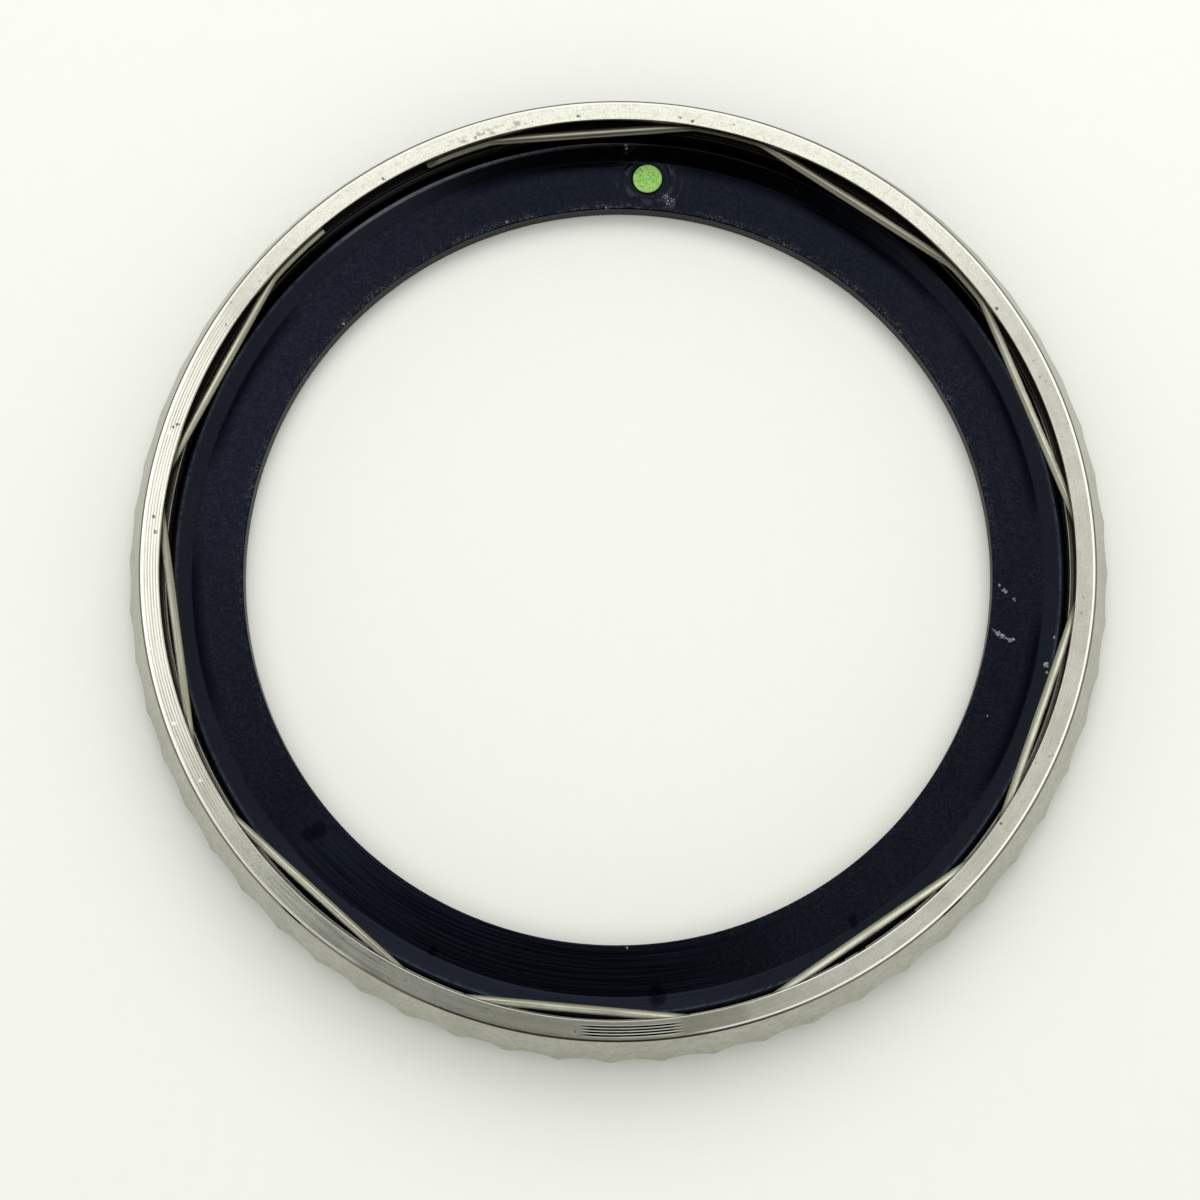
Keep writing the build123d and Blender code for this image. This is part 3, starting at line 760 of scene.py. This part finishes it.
def ring_steel():
    """Satin steel, turned on a lathe, with a few small nicks, painted highlights on its broken
    edges, and painted light and painted shade on its faces.

    A mask's limits are heights and radii in millimetres, or azimuths in degrees.
    """
    steel = material("ring_steel_finish")
    radius, z, toward = steel.radius, steel.z, steel.toward

    # Turning marks, and the even ripple that the tool's feed leaves on the rim
    fine = steel.turning(20.0, 3.0, 3.0)
    lines = steel.turning(14.0, 7.0, 1.0)
    broad = steel.turning(4.0, 1.2)
    ripple = steel.turning(1.5, 4.0, 1.0) * 1.6 + radius * (2 * math.pi / RIM_LINE_PITCH)
    ripple = steel.node("ShaderNodeMath", {"operation": "SINE"}, {0: ripple})
    grain = steel.lumps(0.07)
    mottle = steel.lumps(0.3, 3.0)
    blotch = steel.lumps(1.6)

    # The ring's own faces and edges
    top = z.rise(3.345, 3.349)
    chamfer = z.rise(3.262, 3.27) * radius.rise(19.156, 19.164) * z.fall(3.346, 3.349)
    # where the rim's outer edge carries a painted highlight
    outer_highlight = radius.near(19.115, 0.03, 0.02) * top
    grip = radius.rise(19.3, 19.4) * (z * WALL_TAPER + radius).fall(20.41, 20.425)
    inside = radius.fall(18.435, 18.445)
    bore = radius.fall(18.412, 18.418) * z.rise(3.09, 3.11) * z.fall(3.32, 3.33)
    below = z.fall(2.3, 2.5)
    lip = radius.fall(18.7, 18.8) * below
    groove = radius.rise(18.42, 18.5) * radius.fall(18.9, 18.92)
    groove = groove * z.fall(3.13, 3.15) * z.rise(2.05, 2.07)

    # Stretches round the ring: most carry painted light and painted shade, a few carry narrow dark
    # marks and the lip's dark gaps
    # the stretch at the -X side where the rim shows painted sheen
    painted_sheen = toward(184, 18, 20)
    # a stretch towards -X -Y with deeper turning marks and painted shade in them
    brushed_and_painted_dark = toward(237, 7, 4) * top
    # a stretch towards -Y where the turning lines get painted highlights on their ridges and
    # painted shade in their grooves
    bold = toward(276.0, 4.6, 2.0) * top * radius.near(18.83, 0.22, 0.03)
    painted_bold_lines = steel.mix(ripple.rise(0.2, 0.6), BOLD_GROOVE_SHADE, BOLD_CREST_HIGHLIGHT)
    # where the outer edge's painted highlight is left off, and a painted highlight along the bore's
    # edge towards -Y and +X -Y
    no_outer_highlight = (toward(98, 42, 25) * 0.7).greater(toward(263, 18, 6))
    inner_highlight = (toward(264, 22, 12) * 0.18).greater(toward(306, 8, 9) * 0.8)
    inner_highlight = inner_highlight * radius.fall(18.445, 18.46) * z.rise(3.32, 3.335)
    # where the chamfer's painted shade is heavier, towards -Y and towards +Y
    painted_chamfer_shade = (toward(268, 16, 12) * 0.22).greater(toward(110, 40, 20) * 0.17)
    burnt = toward(232.5, 1.2, 0.5).greater(toward(317.5, 1.2, 0.5)) * chamfer
    gaps = greatest(toward(azimuth, half, 0.15) for azimuth, half in LIP_GAPS)
    # painted shade on the lip's inner part towards +Y, joined with the dark gaps in the lip's light
    # edge
    groove_shade_and_gaps = toward(95, 67, 9) * radius.fall(18.42, 18.46) * radius.rise(18.2, 18.25)
    groove_shade_and_gaps = groove_shade_and_gaps.greater(gaps * radius.fall(18.45, 18.5)) * below

    # Wear
    scuffed = toward(110.5, 3.5, 2.5) * radius.near(18.66, 0.08, 0.12) * mottle.rise(0.45, 0.6)
    speck = steel.cells(0.42).fall(0.1, 0.16)
    speck = speck * steel.lumps(2.3, 1.0).rise(0.52, 0.6)
    pits = steel.spots(on_face(RIM_PITS, TOTAL_HEIGHT))
    glints = steel.spots(on_face(RIM_GLINTS, TOTAL_HEIGHT))

    tone = steel.painted(
        steel.mix(blotch.rise(0.35, 0.65), SATIN_DARK, SATIN_LIGHT),
        # the tapered wall a little darker all round, with painted shade on it towards +Y
        ((1 - top) * (0.1 + toward(85, 28, 20) * 0.62), WALL_PAINTED_SHADE),
        (mottle.rise(0.45, 0.6) * (1 - top) * 0.45, WALL_MOTTLE),
        (grain.fall(0.35, 0.5) * (1 - top) * 0.3, WALL_GRAIN),
        (speck * 0.6, SPECK),
        # painted shade in the grip's scoops
        (grip * 0.22, SCOOP_PAINTED_SHADE),
        # painted light on the rim's face towards +Y, painted sheen on it at the -X side and towards
        # -X -Y, and warm painted shade on it towards -Y
        (toward(93, 38, 22) * top * 0.7, RIM_PAINTED_LIGHT),
        (toward(187, 9, 13) * top * 0.6, RIM_PAINTED_SHEEN),
        (toward(275, 12, 12) * top * 0.5, RIM_PAINTED_WARM_SHADE),
        (toward(225, 4, 8) * top * 0.4, RIM_PAINTED_SHEEN),
        (grain.fall(0.4, 0.54) * top * 0.35, RIM_GRAIN),
        (mottle.rise(0.52, 0.66) * top * 0.25, RIM_MOTTLE),
        # a darker patch on the rim's face towards -Y
        (toward(286, 3.2, 1.5) * top * 0.45, RIM_DARK_PATCH),
        # the turning lines: real marks, with painted highlights on their ridges and painted shade
        # in their grooves, strongest in the stretches of painted sheen, towards -X -Y and towards
        # -Y
        (ripple.rise(-0.2, 0.6) * top * painted_sheen * 0.75, LINE_PAINTED_HIGHLIGHT),
        (ripple.fall(-0.6, 0.0) * top * (painted_sheen * 0.48).greater(brushed_and_painted_dark * 0.3), LINE_PAINTED_SHADE),
        (lines.rise(0.5, 0.62) * top * (0.06 + painted_sheen * 0.2), MARK_LIGHT),
        (lines.fall(0.4, 0.5) * top * (0.06 + brushed_and_painted_dark * 0.3), MARK_DARK),
        (bold, painted_bold_lines),
        (scuffed * 0.6, SCUFFED_STEEL),
        # painted highlights along the rim's outer edge and along the bore's edge
        (outer_highlight * (1 - no_outer_highlight), OUTER_EDGE_HIGHLIGHT),
        # painted shade on the chamfer all round, heavier towards -Y and towards +Y
        (chamfer * (0.78 + painted_chamfer_shade), CHAMFER_PAINTED_SHADE),
        # painted shade down the bore, on the lip and in the groove behind the wire, with the lip's
        # dark gaps
        (bore * 0.8, BORE_PAINTED_SHADE),
        (inner_highlight, INNER_EDGE_HIGHLIGHT),
        (lip * 0.6, LIP_PAINTED_SHADE),
        (groove.greater(groove_shade_and_gaps) * 0.95, GROOVE_PAINTED_SHADE),
        ((pits * 0.75).greater(burnt), PIT_DARK),
        (glints, GLINT),
    )
    rough = 0.22 + fine * 0.1 + blotch * 0.05 - chamfer * 0.1 - grip * 0.04
    rough = rough - inside * 0.08 - bore * 0.08 + groove * 0.1
    height = fine * 0.001 + broad * 0.003 + grain * 0.0018 + lines * (0.0012 + brushed_and_painted_dark * 0.002)
    height = height * (1 - chamfer * 0.85) * (1 - grip * 0.5) - speck * 0.002 - pits * 0.01
    return steel.surface(tone, rough, height, TURNED_METAL)


# Colours of the wire
WIRE_DARK, WIRE_LIGHT = (0.34, 0.345, 0.25), (0.74, 0.735, 0.57)
WIRE_INNER_PAINTED_SHADE, WIRE_OUTER_PAINTED_LIGHT = (0.21, 0.205, 0.15), (0.98, 0.97, 0.82)
WIRE_STAIN, WIRE_NORTH_PAINTED_SHADE, WIRE_SPECK = (0.36, 0.34, 0.25), (0.2, 0.19, 0.145), (0.16, 0.14, 0.1)
WIRE_GROOVE_PAINTED_SHADE = (0.07, 0.062, 0.045)


def spring_wire():
    """Drawn wire with light and dark lines along it, duller on its outer side, with painted light
    on that side and painted shade on its inner side and where the rim covers it.
    """
    wire = material("spring_wire_finish")
    own = wire.node("ShaderNodeAttribute", {"attribute_name": "place_on_wire"}, out=1)
    out, up, along = wire.outputs(wire.node("ShaderNodeSeparateXYZ", sockets={0: own}))
    lines = wire.noise(wire.vector(out * 2.4, up * 2.4, along * 0.22), 2.0)
    stain = wire.lumps(0.9)
    speck = wire.lumps(0.1, 1.0).rise(0.66, 0.74)
    dull = out.rise(0.0, 0.4) * (1 - wire.toward(118, 48, 15))
    flat = out.rise(-0.4, 0.6) * wire.toward(318, 24, 20)
    tone = wire.painted(
        wire.mix(lines.rise(0.38, 0.58), WIRE_DARK, WIRE_LIGHT),
        # painted shade on the wire's inner side and painted light on its outer side
        (out.fall(-0.7, 0.22) * 0.75, WIRE_INNER_PAINTED_SHADE),
        (out.rise(0.05, 0.45) * 0.8, WIRE_OUTER_PAINTED_LIGHT),
        (stain.rise(0.45, 0.66) * 0.35, WIRE_STAIN),
        # painted shade on the wire towards +Y, and where it runs out under the rim into the groove
        (wire.toward(82, 36, 20) * 0.65, WIRE_NORTH_PAINTED_SHADE),
        (speck * 0.3, WIRE_SPECK),
        (wire.radius.rise(18.3, 18.42) * 0.8, WIRE_GROOVE_PAINTED_SHADE),
    )
    rough = 0.3 + lines * 0.14 + out.rise(0.0, 0.5) * 0.15
    height = lines * 0.004 + speck * 0.002 + flat * 0.05
    return wire.surface(tone, rough, height, {"Metallic": 1 - dull * 0.6})


# Places and reaches, in millimetres, of light nicks and scuffs in the insert's black skin
INSERT_CHIPS = (
    (15.62, 0.45, 0.93, 0.03), (15.83, 0.26, 0.93, 0.05), (15.90, 0.19, 0.93, 0.04),
    (16.25, -0.10, 0.93, 0.03), (15.50, -1.44, 0.93, 0.03), (15.70, -1.55, 0.93, 0.08),
    (15.83, -1.64, 0.93, 0.08), (16.02, -1.74, 0.93, 0.04), (16.18, -1.80, 0.93, 0.07),
    (16.30, -1.74, 0.93, 0.05), (17.65, -2.73, 1.15, 0.10), (17.71, -3.06, 1.21, 0.05),
    (17.93, -1.60, 1.21, 0.04), (-0.93, 17.90, 1.19, 0.02), (-0.99, 18.03, 1.24, 0.03),
    (-1.60, 15.33, 0.88, 0.05), (-12.18, 9.51, 0.93, 0.03), (-5.72, 14.41, 0.93, 0.03),
    (15.42, -4.97, 0.93, 0.01), (1.56, -15.38, 0.93, 0.03),
)
INSERT_SCUFFS = (
    (-0.74, 17.95, 1.20, 0.08), (-0.95, 17.80, 1.14, 0.08), (0.84, 15.98, 0.93, 0.08),
    (1.04, 15.78, 0.93, 0.12),
)
# Azimuth, radius and reach of painted dark reflections on the insert
INSERT_DARK_REFLECTIONS = (
    (226.0, 16.15, 0.24), (225.6, 16.55, 0.20), (249.0, 17.20, 0.08), (249.0, 17.32, 0.06),
    (261.7, 17.75, 0.05), (279.6, 17.20, 0.18), (279.6, 17.55, 0.24), (279.3, 17.90, 0.14),
    (307.6, 17.12, 0.08), (307.4, 17.34, 0.08),
)
# Azimuth and half width in degrees where the wire runs close above the insert
INSERT_SHADES = ((26, 10), (58, 10), (68, 14), (104, 8), (157, 8), (193, 7), (345, 8))
# Distance from the mark, half width, softness and strength of the faint rings round it
MARK_RINGS = ((1.00, 0.08, 0.05, 1.0), (1.38, 0.02, 0.04, 0.6), (0.78, 0.02, 0.05, 0.5))
MARK_RINGS_CENTRE = (0.1, MARK_RADIUS, BACK_FACE)

# Colours of the insert
SKIN_DARK, SKIN_LIGHT = (0.0055, 0.0068, 0.0112), (0.0074, 0.0088, 0.0143)
SKIN_GRAIN, SKIN_MOTTLE = (0.0158, 0.0174, 0.0246), (0.0045, 0.0056, 0.0096)
SKIN_PAINTED_LIGHT, SKIN_LINE = (0.015, 0.019, 0.032), (0.0035, 0.005, 0.01)
BAND_TONE, NEAR_MARK_PAINTED_SHADE = (0.019, 0.0215, 0.03), (0.004, 0.0055, 0.008)
SHOULDER_PAINTED_HIGHLIGHT, PALE_ARC_PAINTED_HIGHLIGHT = (0.026, 0.032, 0.043), (0.11, 0.12, 0.14)
RING_PRINT, PAINTED_DARK_REFLECTION = (0.03, 0.033, 0.042), (0.002, 0.0028, 0.006)
SHADE_DARK, EDGE_DARK = (0.0016, 0.002, 0.005), (0.004, 0.003, 0.003)
WALL_DARK, WALL_PAINTED_LIGHT = (0.036, 0.034, 0.029), (0.085, 0.081, 0.07)
RUBBED_GREY, SCRATCH_GREY = (0.072, 0.071, 0.075), (0.06, 0.065, 0.08)
BARE_METAL = (0.36, 0.37, 0.43)


def insert_black():
    """Black anodised aluminium with a blue cast, fine turning marks and worn, chipped edges."""
    black = material("insert_black_finish")
    radius, z, toward = black.radius, black.z, black.toward

    # Turning marks and the grain of the skin
    fine = black.turning(24.0, 2.0)
    lines = black.turning(9.0, 3.5, 1.0)
    broad = black.turning(1.6, 0.8)
    grain = black.lumps(0.065)
    mottle = black.lumps(0.17)
    blotch = black.lumps(2.2)

    # The insert's own faces and edges
    wall = radius.fall(15.352, 15.362)
    edge = radius.fall(15.37, 15.41) * (1 - wall)
    band = radius.rise(17.43, 17.5)
    on_shoulder = z.rise(1.1, 1.2)
    shoulder = radius.near(18.06, 0.03, 0.05) * on_shoulder

    # Stretches round the insert that carry painted shade and painted light
    shade = greatest(toward(azimuth, half, 7) for azimuth, half in INSERT_SHADES)
    shade = shade * radius.rise(16.85, 17.4) * (1 - band)
    pale_arc_highlight = toward(113, 14, 12) * radius.near(18.08, 0.05, 0.07) * on_shoulder
    painted_shade_near_mark = toward(82, 22, 28)
    painted_light_stretch = toward(256, 26, 10)
    painted_light_on_wall = toward(214, 12, 28).greater(toward(326, 22, 22))

    # Wear
    rubbed = radius.fall(15.42, 15.78) * (0.35 + toward(100, 70, 30) * 0.65)
    rubbed = rubbed * grain.rise(0.52, 0.66) * black.lumps(0.6).rise(0.35, 0.6)
    chips = black.lumps(0.06, 1.0).rise(0.42, 0.58) * 0.65 + 0.35
    chips = chips * black.spots(INSERT_CHIPS)
    scuffs = black.spots(INSERT_SCUFFS, 0.14) * black.lumps(0.04, 1.0).rise(0.54, 0.62)
    dark_reflections = black.spots(on_face(INSERT_DARK_REFLECTIONS, BACK_FACE), 0.18)
    apart = black.distance(black.point, MARK_RINGS_CENTRE)
    rings = sum(apart.near(*limits) * strength for *limits, strength in MARK_RINGS)
    rings = rings * black.lumps(0.3).rise(0.4, 0.6) * black.north.rise(0.9, 0.95)
    scratch = black.streaks(38, 1.1, 0.035).greater(black.streaks(-62, 0.8, 0.03)).rise(0.74, 0.78)
    scratch = scratch * black.lumps(3.5, 1.0).rise(0.5, 0.6)

    tone = black.painted(
        black.mix(blotch, SKIN_DARK, SKIN_LIGHT),
        (grain.rise(0.44, 0.62) * 0.6, SKIN_GRAIN),
        (mottle.rise(0.45, 0.62) * 0.45, SKIN_MOTTLE),
        # bluish painted light on the insert towards -Y, where the turning lines also show darker
        # and deeper
        (painted_light_stretch * 0.55, SKIN_PAINTED_LIGHT),
        (lines.fall(0.4, 0.5) * (0.12 + painted_light_stretch * 0.45), SKIN_LINE),
        (band * 0.36, BAND_TONE),
        # painted shade on the insert towards +Y, near the mark
        (painted_shade_near_mark * 0.35, NEAR_MARK_PAINTED_SHADE),
        # painted highlights along the insert's rounded shoulder, and a pale painted highlight arc
        # on it towards +Y -X
        (shoulder * (1 - painted_shade_near_mark) * mottle.rise(0.3, 0.6), SHOULDER_PAINTED_HIGHLIGHT),
        (pale_arc_highlight * (0.3 + mottle), PALE_ARC_PAINTED_HIGHLIGHT),
        (rings * 0.5, RING_PRINT),
        # painted dark reflections on the insert towards -Y
        (dark_reflections * 0.75, PAINTED_DARK_REFLECTION),
        (shade * 0.85, SHADE_DARK),
        # the hole's wall in its own brownish grey, held back towards +Y as painted shade, with
        # painted light on it towards -X -Y and +X -Y
        (wall * (1 - toward(95, 45, 20) * 0.5), WALL_DARK),
        (wall * painted_light_on_wall, WALL_PAINTED_LIGHT),
        (edge * (1 - toward(90, 80, 20)) * 0.8, EDGE_DARK),
        (rubbed * 0.65, RUBBED_GREY),
        (scratch * 0.2, SCRATCH_GREY),
        (chips.greater(scuffs * 0.5), BARE_METAL),
    )
    rough = 0.12 + fine * 0.06 + mottle * 0.04 + wall * 0.3 + chips * 0.3
    height = fine * 0.0008 + lines * (0.002 + painted_light_stretch * 0.002) + broad * 0.002 + grain * 0.0016
    height = height + wall * grain * 0.004 - scratch * 0.003 - chips * 0.01
    return black.surface(tone, rough, height, TURNED_METAL)


# Colours of the luminous mark, the paint and the film
LUMINOUS_GRAIN = (0.455, 0.83, 0.21)
LUMINOUS_BINDER = (0.215, 0.54, 0.085)
LUMINOUS_CLOUD = (0.6, 0.85, 0.34)
LUMINOUS_RIM = (0.36, 0.46, 0.24)
LUMINOUS_SIDE_PAINTED_SHADE = (0.006, 0.01, 0.006)
COLLAR_LIGHT, COLLAR_DARK = (0.78, 0.78, 0.76), (0.7, 0.7, 0.68)
LENS_TINT = (0.97, 1.0, 0.97)
IVORY_LIGHT, IVORY_DARK = (0.8, 0.78, 0.68), (0.72, 0.7, 0.6)
AMBER_LIGHT, AMBER_DARK, BUBBLE = (0.3, 0.25, 0.16), (0.22, 0.18, 0.11), (0.45, 0.42, 0.34)


def luminous_green():
    """Luminous paint: pale green grains in a binder, darker between the grains, with painted shade
    on its sides down in the hole.
    """
    green = material("luminous_green_finish")
    grain = green.cells(0.07)
    cloud = green.lumps(0.25)
    stem_axis = (STEM_SHIFT[0], MARK_RADIUS + STEM_SHIFT[1], 0)
    from_axis = green.distance(green.vector(green.x, green.y, 0.0), stem_axis)
    painted_shade_below_rear = green.z.rise(0.5, 0.55) * green.z.fall(0.83, 0.87)
    tone = green.painted(
        green.mix(grain.rise(0.25, 0.8), LUMINOUS_GRAIN, LUMINOUS_BINDER),
        (cloud.rise(0.45, 0.7) * 0.6, LUMINOUS_CLOUD),
        (from_axis.rise(STEM_RADIUS - 0.06, STEM_RADIUS) * 0.6, LUMINOUS_RIM),
        # painted shade on the plug's sides below its rear face
        (painted_shade_below_rear, LUMINOUS_SIDE_PAINTED_SHADE),
    )
    return green.surface(tone, 0.62 + grain * 0.2, grain * -0.02)


def collar_steel():
    """Polished steel of the small collar, with hairlines from handling."""
    steel = material("collar_steel_finish")
    hair = steel.streaks(20, 0.6, 0.012)
    tone = steel.mix(hair, COLLAR_LIGHT, COLLAR_DARK)
    return steel.surface(tone, 0.08 + hair * 0.1, hair * 0.0008, {"Metallic": 1.0})


def lens_clear():
    """Clear cover over the mark, with a faint waviness of its moulded surface."""
    clear = material("lens_clear_finish")
    wave = clear.lumps(0.5, 1.0)
    acrylic = {"IOR": 1.49, "Transmission Weight": 1.0}
    return clear.surface(LENS_TINT, 0.03 + wave * 0.03, wave * 0.001, acrylic)


def scale_paint():
    """Ivory paint of the scale, printed in one thick coat with a slight orange-peel surface."""
    paint = material("scale_paint_finish")
    peel = paint.lumps(0.11)
    cloud = paint.lumps(0.7)
    tone = paint.mix(cloud, IVORY_LIGHT, IVORY_DARK)
    return paint.surface(tone, 0.42 + peel * 0.15, peel * 0.006)


def adhesive_film():
    """Adhesive film: a dull amber strip with small trapped bubbles."""
    film = material("adhesive_film_finish")
    bubble = film.cells(0.16).fall(0.12, 0.2)
    cloud = film.lumps(0.8)
    tone = film.mix(bubble, film.mix(cloud, AMBER_LIGHT, AMBER_DARK), BUBBLE)
    return film.surface(tone, 0.45 + cloud * 0.15, bubble * 0.004)


# -------- camera, light and table


def photo_camera():
    """The camera: turned about the axis, tilted back and leaned over, at its measured place."""
    turn = (
        Matrix.Rotation(math.radians(CAMERA_TURN), 4, "Z")
        @ Matrix.Rotation(math.radians(CAMERA_TILT), 4, "X")
        @ Matrix.Rotation(math.radians(CAMERA_LEAN), 4, "Y")
    )
    data = bpy.data.cameras.new("photo_camera")
    data.lens = CAMERA_LENS
    data.sensor_width = SENSOR_WIDTH
    data.clip_start, data.clip_end = CAMERA_SEES
    camera = in_scene("photo_camera", data)
    camera.matrix_world = Matrix.Translation([part * MM for part in CAMERA_PLACE]) @ turn
    bpy.context.scene.camera = camera
    return camera


def sheet(name, corners, finish, hidden=False):
    """A flat four-cornered sheet of the studio. A hidden one shows in reflections alone."""
    mesh = bpy.data.meshes.new(name)
    mesh.from_pydata((np.array(corners, float) * MM).tolist(), [], [(0, 1, 2, 3)])
    mesh.materials.append(finish)
    made = in_scene(name, mesh)
    made.visible_camera = made.visible_shadow = made.visible_diffuse = not hidden
    return made


def soft_box(name, place, size, power, mirrored):
    """A square area light at a place, in millimetres, aimed at the object."""
    data = bpy.data.lights.new(name, "AREA")
    data.shape = "SQUARE"
    data.size = size * MM
    data.energy = power
    lamp = in_scene(name, data)
    back = unit(np.array(place, float))
    right = unit(np.cross((0, 1, 0.1), back))
    up = np.cross(back, right)
    lamp.matrix_world = Matrix.Translation([part * MM for part in place]) @ Matrix(
        np.column_stack([right, up, back])
    ).to_4x4()
    lamp.visible_glossy = mirrored


def studio(camera):
    """A pale table under an even tent of light, and the dark phone and photographer over it."""
    table = Recipe(bpy.data.materials.new("table_paper"))
    table.places()
    tooth = table.lumps(0.8, 3.0)
    paper = table.mix(tooth, PAPER_DARK, PAPER_LIGHT)
    paper = table.surface(paper, 0.9, more={"Specular IOR Level": 0.1})
    sheet("table", TABLE, paper)

    dark = Recipe(bpy.data.materials.new("dark_cloth"))
    cloth = dark.surface(CLOTH_TONE, 0.8)
    lens_frame = np.array(camera.matrix_world)
    for name, (left, right, low, high) in HELD_THINGS.items():
        corners = np.array([(left, low, 0), (right, low, 0), (right, high, 0), (left, high, 0)])
        corners = corners @ lens_frame[:3, :3].T + lens_frame[:3, 3] / MM
        sheet(name, corners, cloth, hidden=True)
    sheet("photographer", PHOTOGRAPHER, cloth, hidden=True)
    for lamp in LAMPS:
        soft_box(*lamp)

    world = bpy.data.worlds.new("tent")
    bpy.context.scene.world = world
    tent = Recipe(world)
    seen = tent.outputs(tent.node("ShaderNodeLightPath"))
    camera_ray, glossy_ray, transmission_ray = seen[0], seen[3], seen[7]
    shown = greatest([camera_ray, glossy_ray, transmission_ray])
    level = TENT_LEVEL + shown * (1 - TENT_LEVEL)
    sockets = {"Color": opaque(TENT_COLOUR), "Strength": level}
    light = tent.node("ShaderNodeBackground", sockets=sockets)
    tent.node("ShaderNodeOutputWorld", sockets={"Surface": light})
    bpy.context.scene.view_settings.view_transform = "Standard"


# -------- the bezel

recipes = (ring_steel, spring_wire, insert_black, luminous_green, collar_steel, lens_clear,
           scale_paint, adhesive_film)
finishes = {recipe.__name__: recipe() for recipe in recipes}


def dress(made, slot, *stands_for):
    """Gives a piece its finish, and hides the nodes that it stands for."""
    made.data.materials.clear()
    made.data.materials.append(finishes[slot])
    if stands_for:
        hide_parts(*stands_for)


fill, collar, lens = mark_shapes()
dress(ring_shape(), "ring_steel", "bezel_ring")
dress(wire_shape(), "spring_wire", "retaining_spring")
dress(insert_shape(), "insert_black", "insert")
dress(fill, "luminous_green", "luminous_fill")
dress(collar, "collar_steel", "pip_collar")
dress(lens, "lens_clear", "pip_lens")
dress(nodes["insert_adhesive"], "adhesive_film")
for name in sorted(nodes):
    if name.startswith("number_") or name in ("minute_ticks", "five_minute_bars", "zero_arrow"):
        dress(nodes[name], "scale_paint")

studio(photo_camera())
